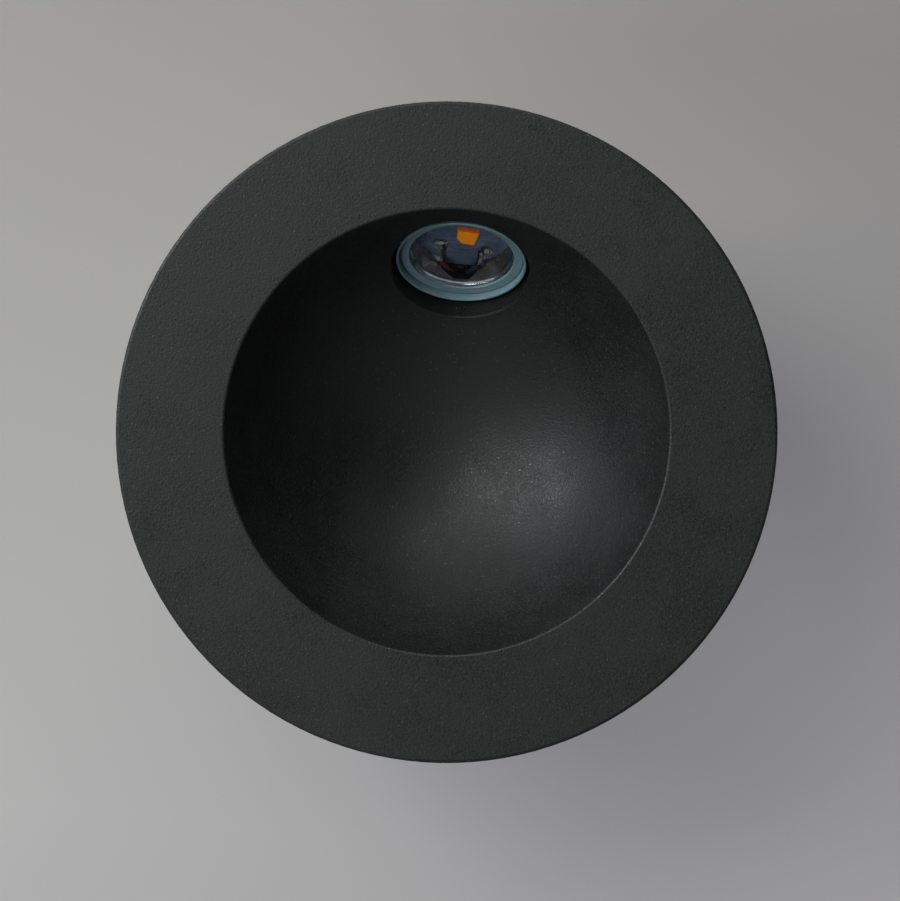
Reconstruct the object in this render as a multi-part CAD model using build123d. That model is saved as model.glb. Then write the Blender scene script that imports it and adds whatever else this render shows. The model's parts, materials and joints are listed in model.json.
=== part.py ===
from build123d import *
import math
import os

os.makedirs("parts", exist_ok=True)

# A recessed step light, in millimetres. X runs right as the viewer sees it, Y into the wall, Z up.
# The origin is the centre of the flange's back plane, where it meets the wall.

# Front casting
flange_radius = 50.0
flange_thickness = 4.0
flange_front_round = 0.5
flange_back_round = 0.3
opening_round = 0.4
bowl_radius = 34.6
bowl_centre_ahead = 8.0
bowl_wall = 2.0
face_y = -flange_thickness
bowl_y = face_y - bowl_centre_ahead

# Slanted port. Its own frame has Z running into the lamp, X right and Y towards its lower lip.
port_tilt = 56.8
port_y = 9.9
port_z = 26.3
port_radius = 10.75
port_wall_radius = 11.95
port_start = -4.0
port_shelf = 2.9
port_end = 7.5
port_edge_round = 0.25
shelf_radius = 9.5
board_ledge = 6.1
ear_x = 14.0
ear_radius = 3.0
ear_start = 1.0
channel_width = 4.4
channel_y = (8.3, 10.9)
channel_start = 3.6

# Optic, along the port
ring_radius = 10.15
ring_bore = 8.2
ring_face = 1.1
ring_back = 2.35
ring_lip_inner = 9.72
ring_groove = (9.5, 1.35)
ring_round = 0.15
window_radius = 8.15
window_front = 1.35
window_chamfer = 0.1
cup_front = 2.4
cup_back = 6.15
cup_outer = 8.95
cup_lip = 0.65
cup_mouth = 7.95
cup_belly = (7.8, 4.7)
cup_base = 7.35
cup_flange_radius = 9.3
lens_gasket_outer = 10.1
lens_gasket_inner = 9.35
notch_outline = [(-3.4, 6.3), (-3.1, 4.6), (-0.9, 3.2), (1.4, 3.2), (2.65, 4.6), (2.8, 6.3)]
notch_round = 0.6

# Light source
board_front = 6.2
board_thickness = 1.0
board_radius = 10.5
board_cut_y = 8.0
board_turn = 9.0
pad_radius = 9.5
led_half = (1.63, 1.79)
led_centre = (0.60, 0.12)
led_base_height = 0.45
led_top_height = 0.5
led_top_inset = 0.05
led_cut_corner = 1.15
led_corner_round = 0.15
led_face_round = 0.2
solder_points = [(-3.5, 3.7), (3.7, 4.8)]
solder_radius = 1.05
solder_height = 0.85
tinned_radius = 0.32

# Leads. The first stretch is in the port's frame, the second in the lamp's.
lead_diameter = 0.9
lead_x = 0.9
lead_y = 9.7
lead_exit = 11.0
lead_bend = 7.0
plug_x = 1.25
plug_z = 28.5
lead_starts = [
    [(-3.0, 6.3, 5.2), (-2.15, 7.6, 5.0), (-1.3, 8.9, 5.2), (-lead_x, lead_y, lead_bend)],
    [(2.6, 6.3, 5.2), (1.7, 7.6, 5.0), (1.1, 8.9, 5.2), (lead_x, lead_y, lead_bend)],
]
lead_tail = [(1.0, 26.4, 32.6), (1.15, 29.2, 31.2), (plug_x, 31.6, plug_z), (plug_x, 34.9, plug_z)]

# Module cap, the heat-sink plate behind the port
cap_thickness = 2.4
cap_back = port_end + cap_thickness
cap_flat_y = -11.2
cap_screw_radius = 1.2
cap_screw_length = 6.4
cap_screw_head = (2.4, 1.6)
cap_hole_start = 2.6
grommet_length = 3.8
grommet_width = 1.8
grommet_ends = (port_end + 0.5, port_end + 1.7)

# Rear can
collar_radius = 43.5
collar_length = 6.0
can_radius = 43.0
can_wall = 1.6
can_depth = 46.0
floor_y = can_depth - can_wall
can_back_round = 1.5
field_half = (15.0, 7.0)
field_z = 8.0
field_round = 2.0
field_depth = 0.4
ejector_ring = 24.0
ejector_radius = 2.6
ejector_depth = 0.2
ejector_angles = (0, 90, 180)
pocket_x = 37.0
pocket_half_width = 13.0
pocket_start = 8.0

# Sealing rim and gaskets
rim_outer = 41.15
rim_inner = 38.2
rim_length = 4.0
seal_groove = (1.2, 3.0)
seal_inner = 39.95
gasket_outer = 47.4
gasket_inner = 44.4
gasket_thickness = 1.2

# Screws and clearances
pillar_ring = 37.2
pillar_radius = 3.0
pillar_angles = (45, 135, 225, 315)
housing_screw_radius = 1.5
housing_screw_length = 12.0
housing_screw_head = (2.75, 2.0)
snug = 0.02
slight = 0.05
loose = 0.1

# Driver board, its front towards the bowl
driver_front = 38.4
driver_thickness = 1.6
driver_back = driver_front + driver_thickness
driver_radius = 33.0
driver_bottom_z = -9.4
standoff_points = [(-26.0, 2.0), (26.0, 2.0), (-18.0, 23.0), (18.0, 23.0)]
standoff_radius = 2.3
driver_screw_radius = 1.0
driver_screw_reach = 3.4
driver_screw_head = (1.9, 1.4)

# Cable gland
gland_z = -20.0
gland_thread = 6.0
gland_bore = 4.0
gland_seat_radius = 4.9
gland_across_flats = 15.0
gland_foot = 40.0
washer_thickness = 0.8
washer_width = 2.0
hexagon_back = can_depth + 4.0
seat_y = can_depth + 5.0
gland_back = can_depth + 9.0
locknut_across_flats = 17.0
locknut_height = 2.6
cable_radius = 3.0
seal_length = 6.4
nut_grip_radius = 8.4
nut_grip_length = 5.5
nut_ridge_count = 12
nut_ridge_radius = 0.5
nut_crown_radius = 7.3
nut_crown_height = 2.4
nut_mouth = 4.6
nut_dome_height = 3.9

# Retaining clips, described on the right side and mirrored to the left
hinge_x = 39.7
hinge_y = 38.0
clip_spread = 15.0
pin_radius = 1.0
pin_head = (1.5, 0.7)
arm_length = 25.0
arm_inner = 1.9
arm_outer = 2.7
arm_half_width = 5.7
arm_tip_half_width = 4.5
arm_heel = 1.5
arm_shoulder = 8.0
arm_taper_end = 11.0
arm_slot = (-18.0, -12.0)
arm_slot_half_width = 1.8
arm_slot_round = 1.5
arm_ear_foot = 2.7
arm_ear_reach = -1.2
arm_stop = (-1.0, -2.2)
sleeve_cover = 0.5
sleeve_rim = 0.6
sleeve_tip = 1.5
sleeve_overlap = 4.5
ear_half_gap = 4.9
bracket_base = 0.8
bracket_ear = (6.0, 6.8)
bracket_ear_radius = 2.4
bracket_y = (30.0, 45.0)
rivet_y = (33.0, 42.0)
rivet_radius = 1.2
coil_radius = 1.5
coil_wire = 0.6
coil_pitch = 1.05
coil_turns = 6
arm_leg = 9.0
bracket_leg = 7.0

tilt = math.radians(port_tilt)
port_plane = Plane(origin=(0, port_y, port_z), x_dir=(1, 0, 0), z_dir=(0, math.cos(tilt), math.sin(tilt)))
port = port_plane.location
facing_back = Rot(-90, 0, 0)
facing_front = Rot(90, 0, 0)
at_gland = Pos(0, 0, gland_z) * facing_back
# The clip arm's own frame: X outwards from the hinge, -Y towards the tip, turned outwards by its spread
arm_place = Pos(hinge_x, hinge_y, 0) * Rot(0, 0, clip_spread)
sides = (-1, 1)
through = 60.0


def disc(radius, low, high, bore=0.0):
    """A round plate or ring about Z, from low to high."""
    height = high - low
    shape = Pos(0, 0, low + height / 2) * Cylinder(radius, height)
    if bore:
        shape -= Pos(0, 0, low + height / 2) * Cylinder(bore, height + 1)
    return shape


def barrel(radius, front, back, bore=0.0, x=0.0, z=0.0):
    """A round plate or ring about Y, from front to back, centred on (x, z)."""
    return Pos(x, 0, z) * facing_back * disc(radius, front, back, bore)


def slab(x, y, z):
    """A box between the two limits given for each axis."""
    size = [limits[1] - limits[0] for limits in (x, y, z)]
    centre = [(limits[1] + limits[0]) / 2 for limits in (x, y, z)]
    return Pos(*centre) * Box(*size)


def either_way(reach):
    """The limits of a slab that reaches as far both ways."""
    return (-reach, reach)


def rod(start, end, radius):
    """A straight round rod between two points."""
    start, end = Vector(*start), Vector(*end)
    run = end - start
    return extrude(Plane(origin=start, z_dir=run) * Circle(radius), amount=run.length)


def hex_nut(across_flats, low, high, bore):
    """A hexagonal nut about Z."""
    corner_radius = across_flats / math.sqrt(3)
    body = extrude(Pos(0, 0, low) * RegularPolygon(corner_radius, 6), amount=high - low)
    return body - disc(bore, low - 1, high + 1)


def socket_screw(head, shank_radius, length):
    """A round-headed screw whose head stands on Z = 0, with a hexagon socket."""
    head_radius, head_height = head
    screw = disc(head_radius, 0, head_height)
    screw = fillet(screw.edges().group_by(Axis.Z)[-1], head_height * 0.3)
    screw += disc(shank_radius, -length, 0)
    socket = Pos(0, 0, head_height * 0.4) * RegularPolygon(head_radius * 0.5, 6)
    return screw - extrude(socket, amount=head_height)


def rounded_end(shape, radius):
    """Rounds the edges at a shape's high end."""
    return fillet(shape.edges().group_by(Axis.Z)[-1], radius)


def pillar_places():
    """The four screw places (x, z) on their circle."""
    turns = [math.radians(angle) for angle in pillar_angles]
    return [(pillar_ring * math.cos(turn), pillar_ring * math.sin(turn)) for turn in turns]


def flange_and_bowl():
    """Flat flange that dips into a round bowl, with its edges slightly rounded."""
    flange = facing_back * disc(flange_radius, face_y, 0)
    for end, radius in ((0, flange_front_round), (-1, flange_back_round)):
        rims = flange.edges().filter_by(GeomType.CIRCLE).filter_by(lambda e: e.radius == flange_radius)
        flange = fillet(rims.sort_by(Axis.Y)[end], radius)
    shell = Pos(0, bowl_y, 0) * Sphere(bowl_radius + bowl_wall)
    shell &= slab(either_way(through), (face_y + 1, through), either_way(through))
    body = flange + shell - Pos(0, bowl_y, 0) * Sphere(bowl_radius)
    front_circles = body.edges().filter_by(GeomType.CIRCLE).group_by(Axis.Y)[0]
    return fillet(front_circles.sort_by(SortBy.RADIUS)[0], opening_round)


def port_sleeve():
    """Outside of the slanted port, with an ear each side for the module cap's screws."""
    sleeve = disc(port_wall_radius, port_start, port_end)
    sleeve += slab(either_way(ear_x), either_way(ear_radius), (ear_start, port_end))
    for side in sides:
        sleeve += Pos(side * ear_x, 0, 0) * disc(ear_radius, ear_start, port_end)
    return port * sleeve - Pos(0, bowl_y, 0) * Sphere(bowl_radius)


def port_mouth(body):
    """The edges where the port's bore opens into the bowl."""
    bowl_centre = Vector(0, bowl_y, 0)
    mouth = []
    for edge in body.edges():
        middle = edge @ 0.5
        across = port_plane.to_local_coords(middle)
        on_bore = abs(math.hypot(across.X, across.Y) - port_radius) < 0.01
        if on_bore and abs((middle - bowl_centre).length - bowl_radius) < 0.01:
            mouth.append(edge)
    return mouth


def front_casting():
    """Flange, bowl, slanted port, sealing rim and screw pillars in one casting."""
    body = flange_and_bowl() + port_sleeve()
    body -= port * disc(port_radius, 2 * port_start, port_shelf)
    body = fillet(port_mouth(body), port_edge_round)
    body -= port * disc(shelf_radius, port_start, port_end + 1)
    body -= port * disc(port_radius, board_ledge, port_end + 1)
    body -= port * slab(either_way(channel_width / 2), channel_y, (channel_start, port_end + 1))
    for side in sides:
        body -= port * Pos(side * ear_x, 0, 0) * disc(cap_screw_radius + snug, cap_hole_start, port_end + 1)
    root = -0.5
    body += barrel(rim_outer, root, rim_length, bore=rim_inner)
    for x, z in pillar_places():
        body += barrel(pillar_radius, root, floor_y - slight, x=x, z=z)
    body -= barrel(rim_outer + 1, *seal_groove, bore=seal_inner)
    for x, z in pillar_places():
        hole_start = can_depth - housing_screw_length - 1
        body -= barrel(housing_screw_radius + snug, hole_start, can_depth, x=x, z=z)
    body -= Pos(0, bowl_y, 0) * Sphere(bowl_radius)
    return body - barrel(gasket_outer, -gasket_thickness, 1, bore=gasket_inner)


def wall_gasket():
    """Flat ring in the groove behind the flange, drawn pressed flush."""
    return barrel(gasket_outer - slight, -gasket_thickness, 0, bore=gasket_inner + slight)


def housing_seal():
    """Ring in the rim's groove, pressed against the can."""
    front, back = seal_groove
    return barrel(can_radius - can_wall - snug, front + slight, back - slight, bore=seal_inner + snug)


def pocket(side, floor_x, start, half_width):
    """The space that a clip pocket takes from the can's side."""
    return slab(sorted((side * floor_x, side * through)), (start, through), either_way(half_width))


def blank_field():
    """The shallow recess for a rating label, left blank."""
    outline = RectangleRounded(2 * field_half[0], 2 * field_half[1], field_round)
    return Pos(0, can_depth - field_depth, field_z) * facing_back * extrude(outline, amount=1)


def ejector_marks():
    """Shallow round marks that the casting die's pins leave on the can's floor."""
    marks = []
    for angle in ejector_angles:
        turn = math.radians(angle)
        x, z = ejector_ring * math.cos(turn), ejector_ring * math.sin(turn)
        marks.append(barrel(ejector_radius, can_depth - ejector_depth, can_depth + 1, x=x, z=z))
    return marks


def rear_housing():
    """The can, with a collar that fits the wall's hole and a pocket for each clip."""
    inside = barrel(can_radius - can_wall, -1, floor_y)
    for side in sides:
        inside -= pocket(side, pocket_x - can_wall, pocket_start - can_wall, pocket_half_width + can_wall)
    can = facing_back * rounded_end(disc(can_radius, 0, can_depth), can_back_round) - inside
    for side in sides:
        can -= pocket(side, pocket_x, pocket_start, pocket_half_width)
    can += barrel(collar_radius, 0, collar_length, bore=can_radius - can_wall / 2)
    can -= blank_field() + ejector_marks()
    for x, z in pillar_places():
        can -= barrel(housing_screw_radius + loose, floor_y - 1, can_depth + 1, x=x, z=z)
    can -= barrel(gland_thread + loose, floor_y - 1, can_depth + 1, z=gland_z)
    for y in rivet_y:
        for side in sides:
            can -= rod((side * (pocket_x - 5), y, 0), (side * can_radius, y, 0), rivet_radius + snug)
    return can


def housing_screws():
    """Four screws through the can's floor into the casting's pillars."""
    screw = socket_screw(housing_screw_head, housing_screw_radius, housing_screw_length)
    return Compound([Pos(x, can_depth, z) * facing_back * screw for x, z in pillar_places()])


def optic_ring():
    """Pale ring that frames the window, with a groove inside its raised outer lip."""
    groove_inner, groove_floor = ring_groove
    ring = disc(ring_radius, 0, ring_face, bore=ring_lip_inner)
    ring += disc(ring_radius, ring_face, ring_back, bore=ring_bore)
    ring = fillet(ring.edges().group_by(Axis.Z)[0], ring_round)
    return port * (ring - disc(ring_lip_inner, 0, groove_floor, bore=groove_inner))


def window():
    """Clear disc just under the optic ring's face."""
    pane = disc(window_radius, window_front, ring_back)
    return port * chamfer(pane.edges().group_by(Axis.Z)[0], window_chamfer)


def lens_gasket():
    """Ring between the optic ring and the port's shelf."""
    return port * disc(lens_gasket_outer, ring_back, port_shelf, bore=lens_gasket_inner)


def reflector_cup():
    """Bright cup with a rolled lip round the light source, notched where the leads pass."""
    lip_start, lip_end = (cup_mouth + cup_lip, cup_front), (cup_mouth, cup_front + cup_lip)
    outside = Polyline(
        lip_start,
        (cup_flange_radius, cup_front),
        (cup_flange_radius, port_shelf),
        (cup_outer, port_shelf),
        (cup_outer, cup_back),
        (cup_base, cup_back),
    )
    wall = ThreePointArc((cup_base, cup_back), cup_belly, lip_end)
    lip = RadiusArc(lip_end, lip_start, cup_lip)
    cup = revolve(Plane.XZ * make_face([*outside.edges(), wall, lip]), Axis.Z)
    notch = make_face(Polyline(*notch_outline, close=True))
    notch = fillet(notch.vertices().group_by(Axis.Y)[0], notch_round)
    far_side = Plane.XZ.offset(-port_wall_radius)
    return port * (cup - extrude(far_side * notch, amount=port_wall_radius / 2))


def led_board():
    """Round board with a cut for the leads."""
    board_back = board_front + board_thickness
    lead_cut = slab(either_way(channel_width / 2), (board_cut_y, through), (board_front - 1, board_back + 1))
    return port * (disc(board_radius, board_front, board_back) - lead_cut)


def thermal_pad():
    """Soft pad between the board and the module cap."""
    pad = disc(pad_radius, board_front + board_thickness, port_end)
    lead_cut = slab(either_way(pad_radius / 3), (board_cut_y, through), (board_front, port_end + 1))
    return port * (pad - lead_cut)


def on_led_board(shape):
    """Stands a shape, whose height runs to -Z, on the board at the light source's place."""
    return port * Pos(*led_centre, board_front) * Rot(0, 0, board_turn) * shape


def cut_cornered_block(inset, low, high):
    """A block of the light source's outline, with the corner that marks its polarity cut off."""
    half_x, half_y = (half - inset for half in led_half)
    block = slab(either_way(half_x), either_way(half_y), (low, high))
    upright = block.edges().filter_by(Axis.Z)
    marked = upright.sort_by_distance((-half_x, half_y, low))[0]
    block = chamfer(marked, led_cut_corner)
    return fillet(block.edges().filter_by(Axis.Z), led_corner_round)


def led_base():
    """Light source body on the board."""
    return on_led_board(cut_cornered_block(0, -led_base_height, 0))


def led_top():
    """Amber block over the light source's body."""
    block = cut_cornered_block(led_top_inset, -led_base_height - led_top_height, -led_base_height)
    return on_led_board(fillet(block.edges().group_by(Axis.Z)[0], led_face_round))


def solder_joints():
    """Two rounded joints, each with its lead's bare tinned end."""
    joints = []
    below = slab(either_way(port_radius), either_way(port_radius), (board_front, port_end))
    for (x, y), route in zip(solder_points, lead_starts):
        bead = Pos(x, y, board_front) * scale(Sphere(1), by=(solder_radius, solder_radius, solder_height))
        inside = Vector(x, y, board_front - solder_height / 2)
        run = Vector(*route[0]) - inside
        end = inside + run * (1 - loose / run.length)
        joints.append(port * (bead - below + rod(inside, end, tinned_radius)))
    return Compound(joints)


def corner_radii(route):
    """The largest arc that each corner's two runs allow."""
    radii = []
    for before, corner, after in zip(route, route[1:], route[2:]):
        run_in, run_out = corner - before, after - corner
        half_turn = math.radians(run_in.get_angle(run_out)) / 2
        radii.append(0.45 * min(run_in.length, run_out.length) / math.tan(half_turn))
    return radii


def lead(name, start, side):
    """One insulated lead, from its solder joint to the plug."""
    in_port = [*start, (side * lead_x, lead_y, lead_exit)]
    route = [port_plane.from_local_coords(Vector(*point)) for point in in_port]
    route += [Vector(side * x, y, z) for x, y, z in lead_tail]
    radii = corner_radii(route)
    path = FilletPolyline(*route, radius=radii)
    section = Plane(origin=path @ 0, z_dir=path % 0) * Circle(lead_diameter / 2)
    solid = sweep(section, path=path)
    print(name, "radii", [round(r, 1) for r in radii], "length", round(path.length, 1))
    print(name, "volume over section times length", round(solid.volume / (section.area * path.length), 4))
    return solid


def grommet_slot(low, high, inset):
    """Rounded slot that the leads pass through."""
    outline = Pos(0, lead_y, low) * SlotOverall(grommet_length - 2 * inset, grommet_width - 2 * inset)
    return extrude(outline, amount=high - low)


def module_cap():
    """Heat-sink plate that closes the port from behind."""
    cap = disc(port_wall_radius, port_end, cap_back)
    cap += slab(either_way(ear_x), either_way(ear_radius), (port_end, cap_back))
    for side in sides:
        cap += Pos(side * ear_x, 0, 0) * disc(ear_radius, port_end, cap_back)
        cap -= Pos(side * ear_x, 0, 0) * disc(cap_screw_radius + loose, port_end - 1, cap_back + 1)
    cap -= slab(either_way(ear_x), (-through, cap_flat_y), (port_end - 1, cap_back + 1))
    return port * (cap - grommet_slot(port_end - 1, cap_back + 1, 0))


def lead_grommet():
    """Rubber insert that holds both leads in the module cap."""
    low, high = grommet_ends
    grommet = grommet_slot(low, high, snug)
    for side in sides:
        grommet -= Pos(side * lead_x, lead_y, 0) * disc(lead_diameter / 2 + slight, low - 1, high + 1)
    return port * grommet


def module_cap_screws():
    """Two screws that hold the module cap to the casting's ears."""
    screw = socket_screw(cap_screw_head, cap_screw_radius, cap_screw_length)
    return Compound([port * Pos(side * ear_x, 0, cap_back) * screw for side in sides])


def driver_board():
    """Round driver board with its lower part cut away for the cable gland."""
    board = barrel(driver_radius, driver_front, driver_back)
    board -= slab(either_way(through), (0, through), (-through, driver_bottom_z))
    for x, z in standoff_points:
        board -= barrel(driver_screw_radius + loose, driver_front - 1, driver_back + 1, x=x, z=z)
    return board


def driver_standoffs():
    """Round spacers between the can's floor and the driver board."""
    spacers = []
    for x, z in standoff_points:
        hole = barrel(driver_screw_radius + snug, driver_back - 1, floor_y - 0.5, x=x, z=z)
        spacers.append(barrel(standoff_radius, driver_back, floor_y, x=x, z=z) - hole)
    return Compound(spacers)


def driver_screws():
    """Screws through the driver board into the spacers."""
    screw = socket_screw(driver_screw_head, driver_screw_radius, driver_thickness + driver_screw_reach)
    return Compound([Pos(x, driver_front, z) * facing_front * screw for x, z in standoff_points])


def on_driver(shape, x, z):
    """Stands a shape, modelled on Z = 0, on the driver board's front."""
    return Pos(x, driver_front, z) * facing_front * shape


capacitor_place = (21.0, 12.0)
inductor_place = (-20.0, 11.0)
rectifier_place = (-14.0, -4.4)
chip_place = (-5.0, 13.0)
fuse_place = (15.0, -3.6)
socket_half = (4.0, 2.9)
socket_height = 3.4
socket_floor = 1.0
socket_wall = 0.7


def board_socket():
    """Shrouded two-way header for the light source's leads."""
    half_x, half_z = socket_half
    shroud = slab(either_way(half_x), either_way(half_z), (0, socket_height))
    inside_x, inside_z = half_x - socket_wall, half_z - socket_wall
    cavity = slab(either_way(inside_x), either_way(inside_z), (socket_floor, socket_height + 1))
    return on_driver(shroud - cavity, 0, plug_z)


def lead_plug():
    """Plug on the leads' ends, seated in the board socket."""
    half_x, half_z = (half - socket_wall - loose for half in socket_half)
    plug_height = 5.4
    latch_z = half_z + 0.6
    plug = slab(either_way(half_x), either_way(half_z), (socket_floor, plug_height))
    plug += slab(either_way(half_x / 3), (half_z, latch_z), (socket_height + loose, plug_height))
    for side in sides:
        plug -= Pos(side * plug_x, 0, 0) * disc(lead_diameter / 2 + slight, socket_height, plug_height + 1)
    return on_driver(plug, 0, plug_z)


terminal_z = -4.6
terminal_pitch = 5.2
terminal_half_z = 4.2
terminal_height = 9.0
terminal_step = (1.8, 6.4)
terminal_screw_y = -0.6
terminal_screw_radius = 1.7
terminal_seat = 4.0
terminal_inlet = (1.4, (1.8, 3.8))


def terminal_block():
    """Two-way terminal block for the supply cable."""
    half_x, half_z, height = terminal_pitch, terminal_half_z, terminal_height
    step_z, step_height = terminal_step
    inlet_half_x, inlet_height = terminal_inlet
    block = slab(either_way(half_x), either_way(half_z), (0, height))
    block -= slab(either_way(half_x + 1), (step_z, half_z + 1), (step_height, height + 1))
    for side in sides:
        pole = Pos(side * terminal_pitch / 2, 0, 0)
        screw_well = disc(terminal_screw_radius + slight, terminal_seat, height + 1)
        block -= pole * Pos(0, terminal_screw_y, 0) * screw_well
        block -= pole * slab(either_way(inlet_half_x), (-half_z - 1, -1.0), inlet_height)
    return on_driver(block, 0, terminal_z)


def terminal_screws():
    """The two clamping screws of the terminal block."""
    head_top = terminal_seat + 2.2
    screw = disc(terminal_screw_radius, terminal_seat, head_top)
    screw -= slab(either_way(0.3), either_way(2), (head_top - 0.8, head_top + 1))
    places = [Pos(side * terminal_pitch / 2, terminal_screw_y, 0) for side in sides]
    return Compound([on_driver(place * screw, 0, terminal_z) for place in places])


def smoothing_capacitor():
    """Upright can capacitor with a rolled groove near its foot."""
    radius, height, groove_height = 4.0, 10.5, 1.8
    can = rounded_end(disc(radius, 0, height), 0.5)
    return on_driver(can - Pos(0, 0, groove_height) * Torus(radius + 0.2, 0.5), *capacitor_place)


def inductor():
    """Shielded square inductor."""
    half, height = 5.0, 5.0
    block = slab(either_way(half), either_way(half), (0, height))
    block = fillet(block.edges().filter_by(Axis.Z), 1.2)
    return on_driver(block - disc(4.2, height - 0.6, height + 1, bore=3.4), *inductor_place)


def legged_package(half_x, half_z, height, leg_places, leg_half_width):
    """Flat moulded package with legs along both long sides."""
    body = slab(either_way(half_x), either_way(half_z), (0.2, height))
    body = chamfer(body.edges().group_by(Axis.Z)[-1], 0.25)
    for x in leg_places:
        leg_x = (x - leg_half_width, x + leg_half_width)
        for side in sides:
            body += slab(leg_x, sorted((side * (half_z - 0.2), side * (half_z + 1))), (0, 0.4))
    return body


def bridge_rectifier():
    """Flat four-legged rectifier."""
    return on_driver(legged_package(3.2, 2.0, 2.6, (-2.5, 2.5), 0.4), *rectifier_place)


def driver_chip():
    """Eight-legged driver chip."""
    pitch = 1.27
    legs = [pitch * (i - 1.5) for i in range(4)]
    return on_driver(legged_package(2.5, 2.0, 1.7, legs, 0.2), *chip_place)


def fuse():
    """Small round fuse."""
    return on_driver(rounded_end(disc(4.1, 0, 7.0), 0.6), *fuse_place)


def chip_resistors():
    """Rows of chip resistors on the driver board."""
    chip = slab(either_way(1.0), either_way(0.62), (0, 0.5))
    places = [(3.5 * column - 8, z) for z in (4.5, 7.0) for column in range(5)]
    places += [(x, 17.5) for x in (4.0, 8.0)]
    return Compound([on_driver(chip, x, z) for x, z in places])


def gland_body():
    """Threaded cable gland with its hexagon outside the can."""
    hexagon_front = can_depth + washer_thickness
    body = disc(gland_thread, gland_foot, gland_back, bore=gland_bore)
    hexagon = hex_nut(gland_across_flats, hexagon_front, hexagon_back, gland_bore)
    body += fillet(hexagon.edges().filter_by(Axis.Z).sort_by_distance((0, 0, hexagon_front))[-6:], 0.6)
    return at_gland * (body - disc(gland_seat_radius, seat_y, gland_back + 1))


def gland_washer():
    """Sealing ring under the gland's hexagon."""
    back = can_depth + washer_thickness
    return at_gland * disc(gland_thread + washer_width, can_depth, back, bore=gland_thread + slight)


def gland_locknut():
    """Nut inside the can that holds the gland."""
    front = floor_y - locknut_height
    return at_gland * hex_nut(locknut_across_flats, front, floor_y, gland_thread + snug)


def gland_seal():
    """Soft sleeve that grips the supply cable."""
    seal = disc(gland_seat_radius - slight, seat_y, seat_y + seal_length, bore=cable_radius + loose)
    rims = seal.edges().filter_by(GeomType.CIRCLE).group_by(Axis.Z)[-1]
    return at_gland * chamfer(rims.sort_by(SortBy.RADIUS)[-1], 0.5)


def gland_nut():
    """Domed cap nut with grip ridges that squeezes the seal."""
    low = hexagon_back + 0.2
    grip_top = low + nut_grip_length
    dome_top = grip_top + nut_dome_height
    nut = disc(nut_grip_radius, low, grip_top)
    ridge = Pos(nut_grip_radius, 0, 0) * disc(nut_ridge_radius, low, grip_top - nut_ridge_radius)
    for index in range(nut_ridge_count):
        nut += Rot(0, 0, 360 / nut_ridge_count * index) * ridge
    shoulder = (nut_crown_radius, grip_top + nut_crown_height)
    crown = ThreePointArc((nut_grip_radius, grip_top), shoulder, (nut_mouth, dome_top))
    inside = Polyline((nut_mouth, dome_top), (0, dome_top), (0, grip_top), (nut_grip_radius, grip_top))
    nut += revolve(Plane.XZ * make_face([crown, *inside.edges()]), Axis.Z)
    nut -= disc(gland_thread + slight, low - 1, gland_back + 0.2)
    nut -= disc(gland_seat_radius + loose, low, seat_y + seal_length + 0.2)
    return at_gland * (nut - disc(cable_radius + 0.4, low, dome_top + 1))


def to_side(shape, side):
    """Keeps a right-hand piece or mirrors it to the left."""
    return shape if side > 0 else mirror(shape, about=Plane.YZ)


def clip_bracket():
    """Base plate riveted to the can, with two ears that carry the hinge pin."""
    ear_low, ear_high = bracket_ear
    base = slab((pocket_x, pocket_x + bracket_base), bracket_y, either_way(ear_high))
    for y in rivet_y:
        base -= rod((pocket_x - 1, y, 0), (hinge_x, y, 0), rivet_radius + snug)
    beside_hinge = (hinge_y - bracket_ear_radius, hinge_y + bracket_ear_radius)
    ear = slab((pocket_x, hinge_x), beside_hinge, bracket_ear)
    ear += Pos(hinge_x, hinge_y, 0) * disc(bracket_ear_radius, ear_low, ear_high)
    ear -= Pos(hinge_x, hinge_y, 0) * disc(pin_radius + snug, ear_low - 1, ear_high + 1)
    return base + ear + mirror(ear, about=Plane.XY)


def clip_pin():
    """Hinge pin with a flattened head at each end."""
    end = bracket_ear[1]
    head_radius, head_height = pin_head
    pin = disc(pin_radius, -end, end)
    pin += disc(head_radius, end, end + head_height)
    pin += disc(head_radius, -end - head_height, -end)
    return Pos(hinge_x, hinge_y, 0) * pin


def clip_arm():
    """Pressed strip that turns on the pin and presses against the back of the wall."""
    right_edge = [
        (arm_heel, arm_half_width),
        (-arm_shoulder, arm_half_width),
        (-arm_taper_end, arm_tip_half_width),
        (-arm_length, arm_tip_half_width),
    ]
    left_edge = [(along, -across) for along, across in reversed(right_edge)]
    outline = make_face(Polyline(*right_edge, *left_edge, close=True))
    strip_plane = Plane(origin=(arm_inner, 0, 0), x_dir=(0, 1, 0), z_dir=(1, 0, 0))
    strip = extrude(strip_plane * outline, amount=arm_outer - arm_inner)
    slot = slab((0, through), arm_slot, either_way(arm_slot_half_width))
    strip -= fillet(slot.edges().filter_by(Axis.X), arm_slot_round)
    # The ear's inner rear corner is the stop that rests on the bracket
    ear_outline = make_face(
        Polyline(
            (arm_outer, arm_heel),
            (arm_outer, -arm_shoulder),
            (arm_inner, -arm_shoulder),
            arm_stop,
            (arm_ear_reach, arm_heel / 2),
            (arm_ear_reach, arm_ear_foot),
            (arm_inner, arm_ear_foot),
            close=True,
        )
    )
    ear = extrude(Pos(0, 0, ear_half_gap) * ear_outline, amount=arm_half_width - ear_half_gap)
    arm = strip + ear + mirror(ear, about=Plane.XY)
    return arm_place * (arm - disc(pin_radius + slight, -arm_length, arm_length))


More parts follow.
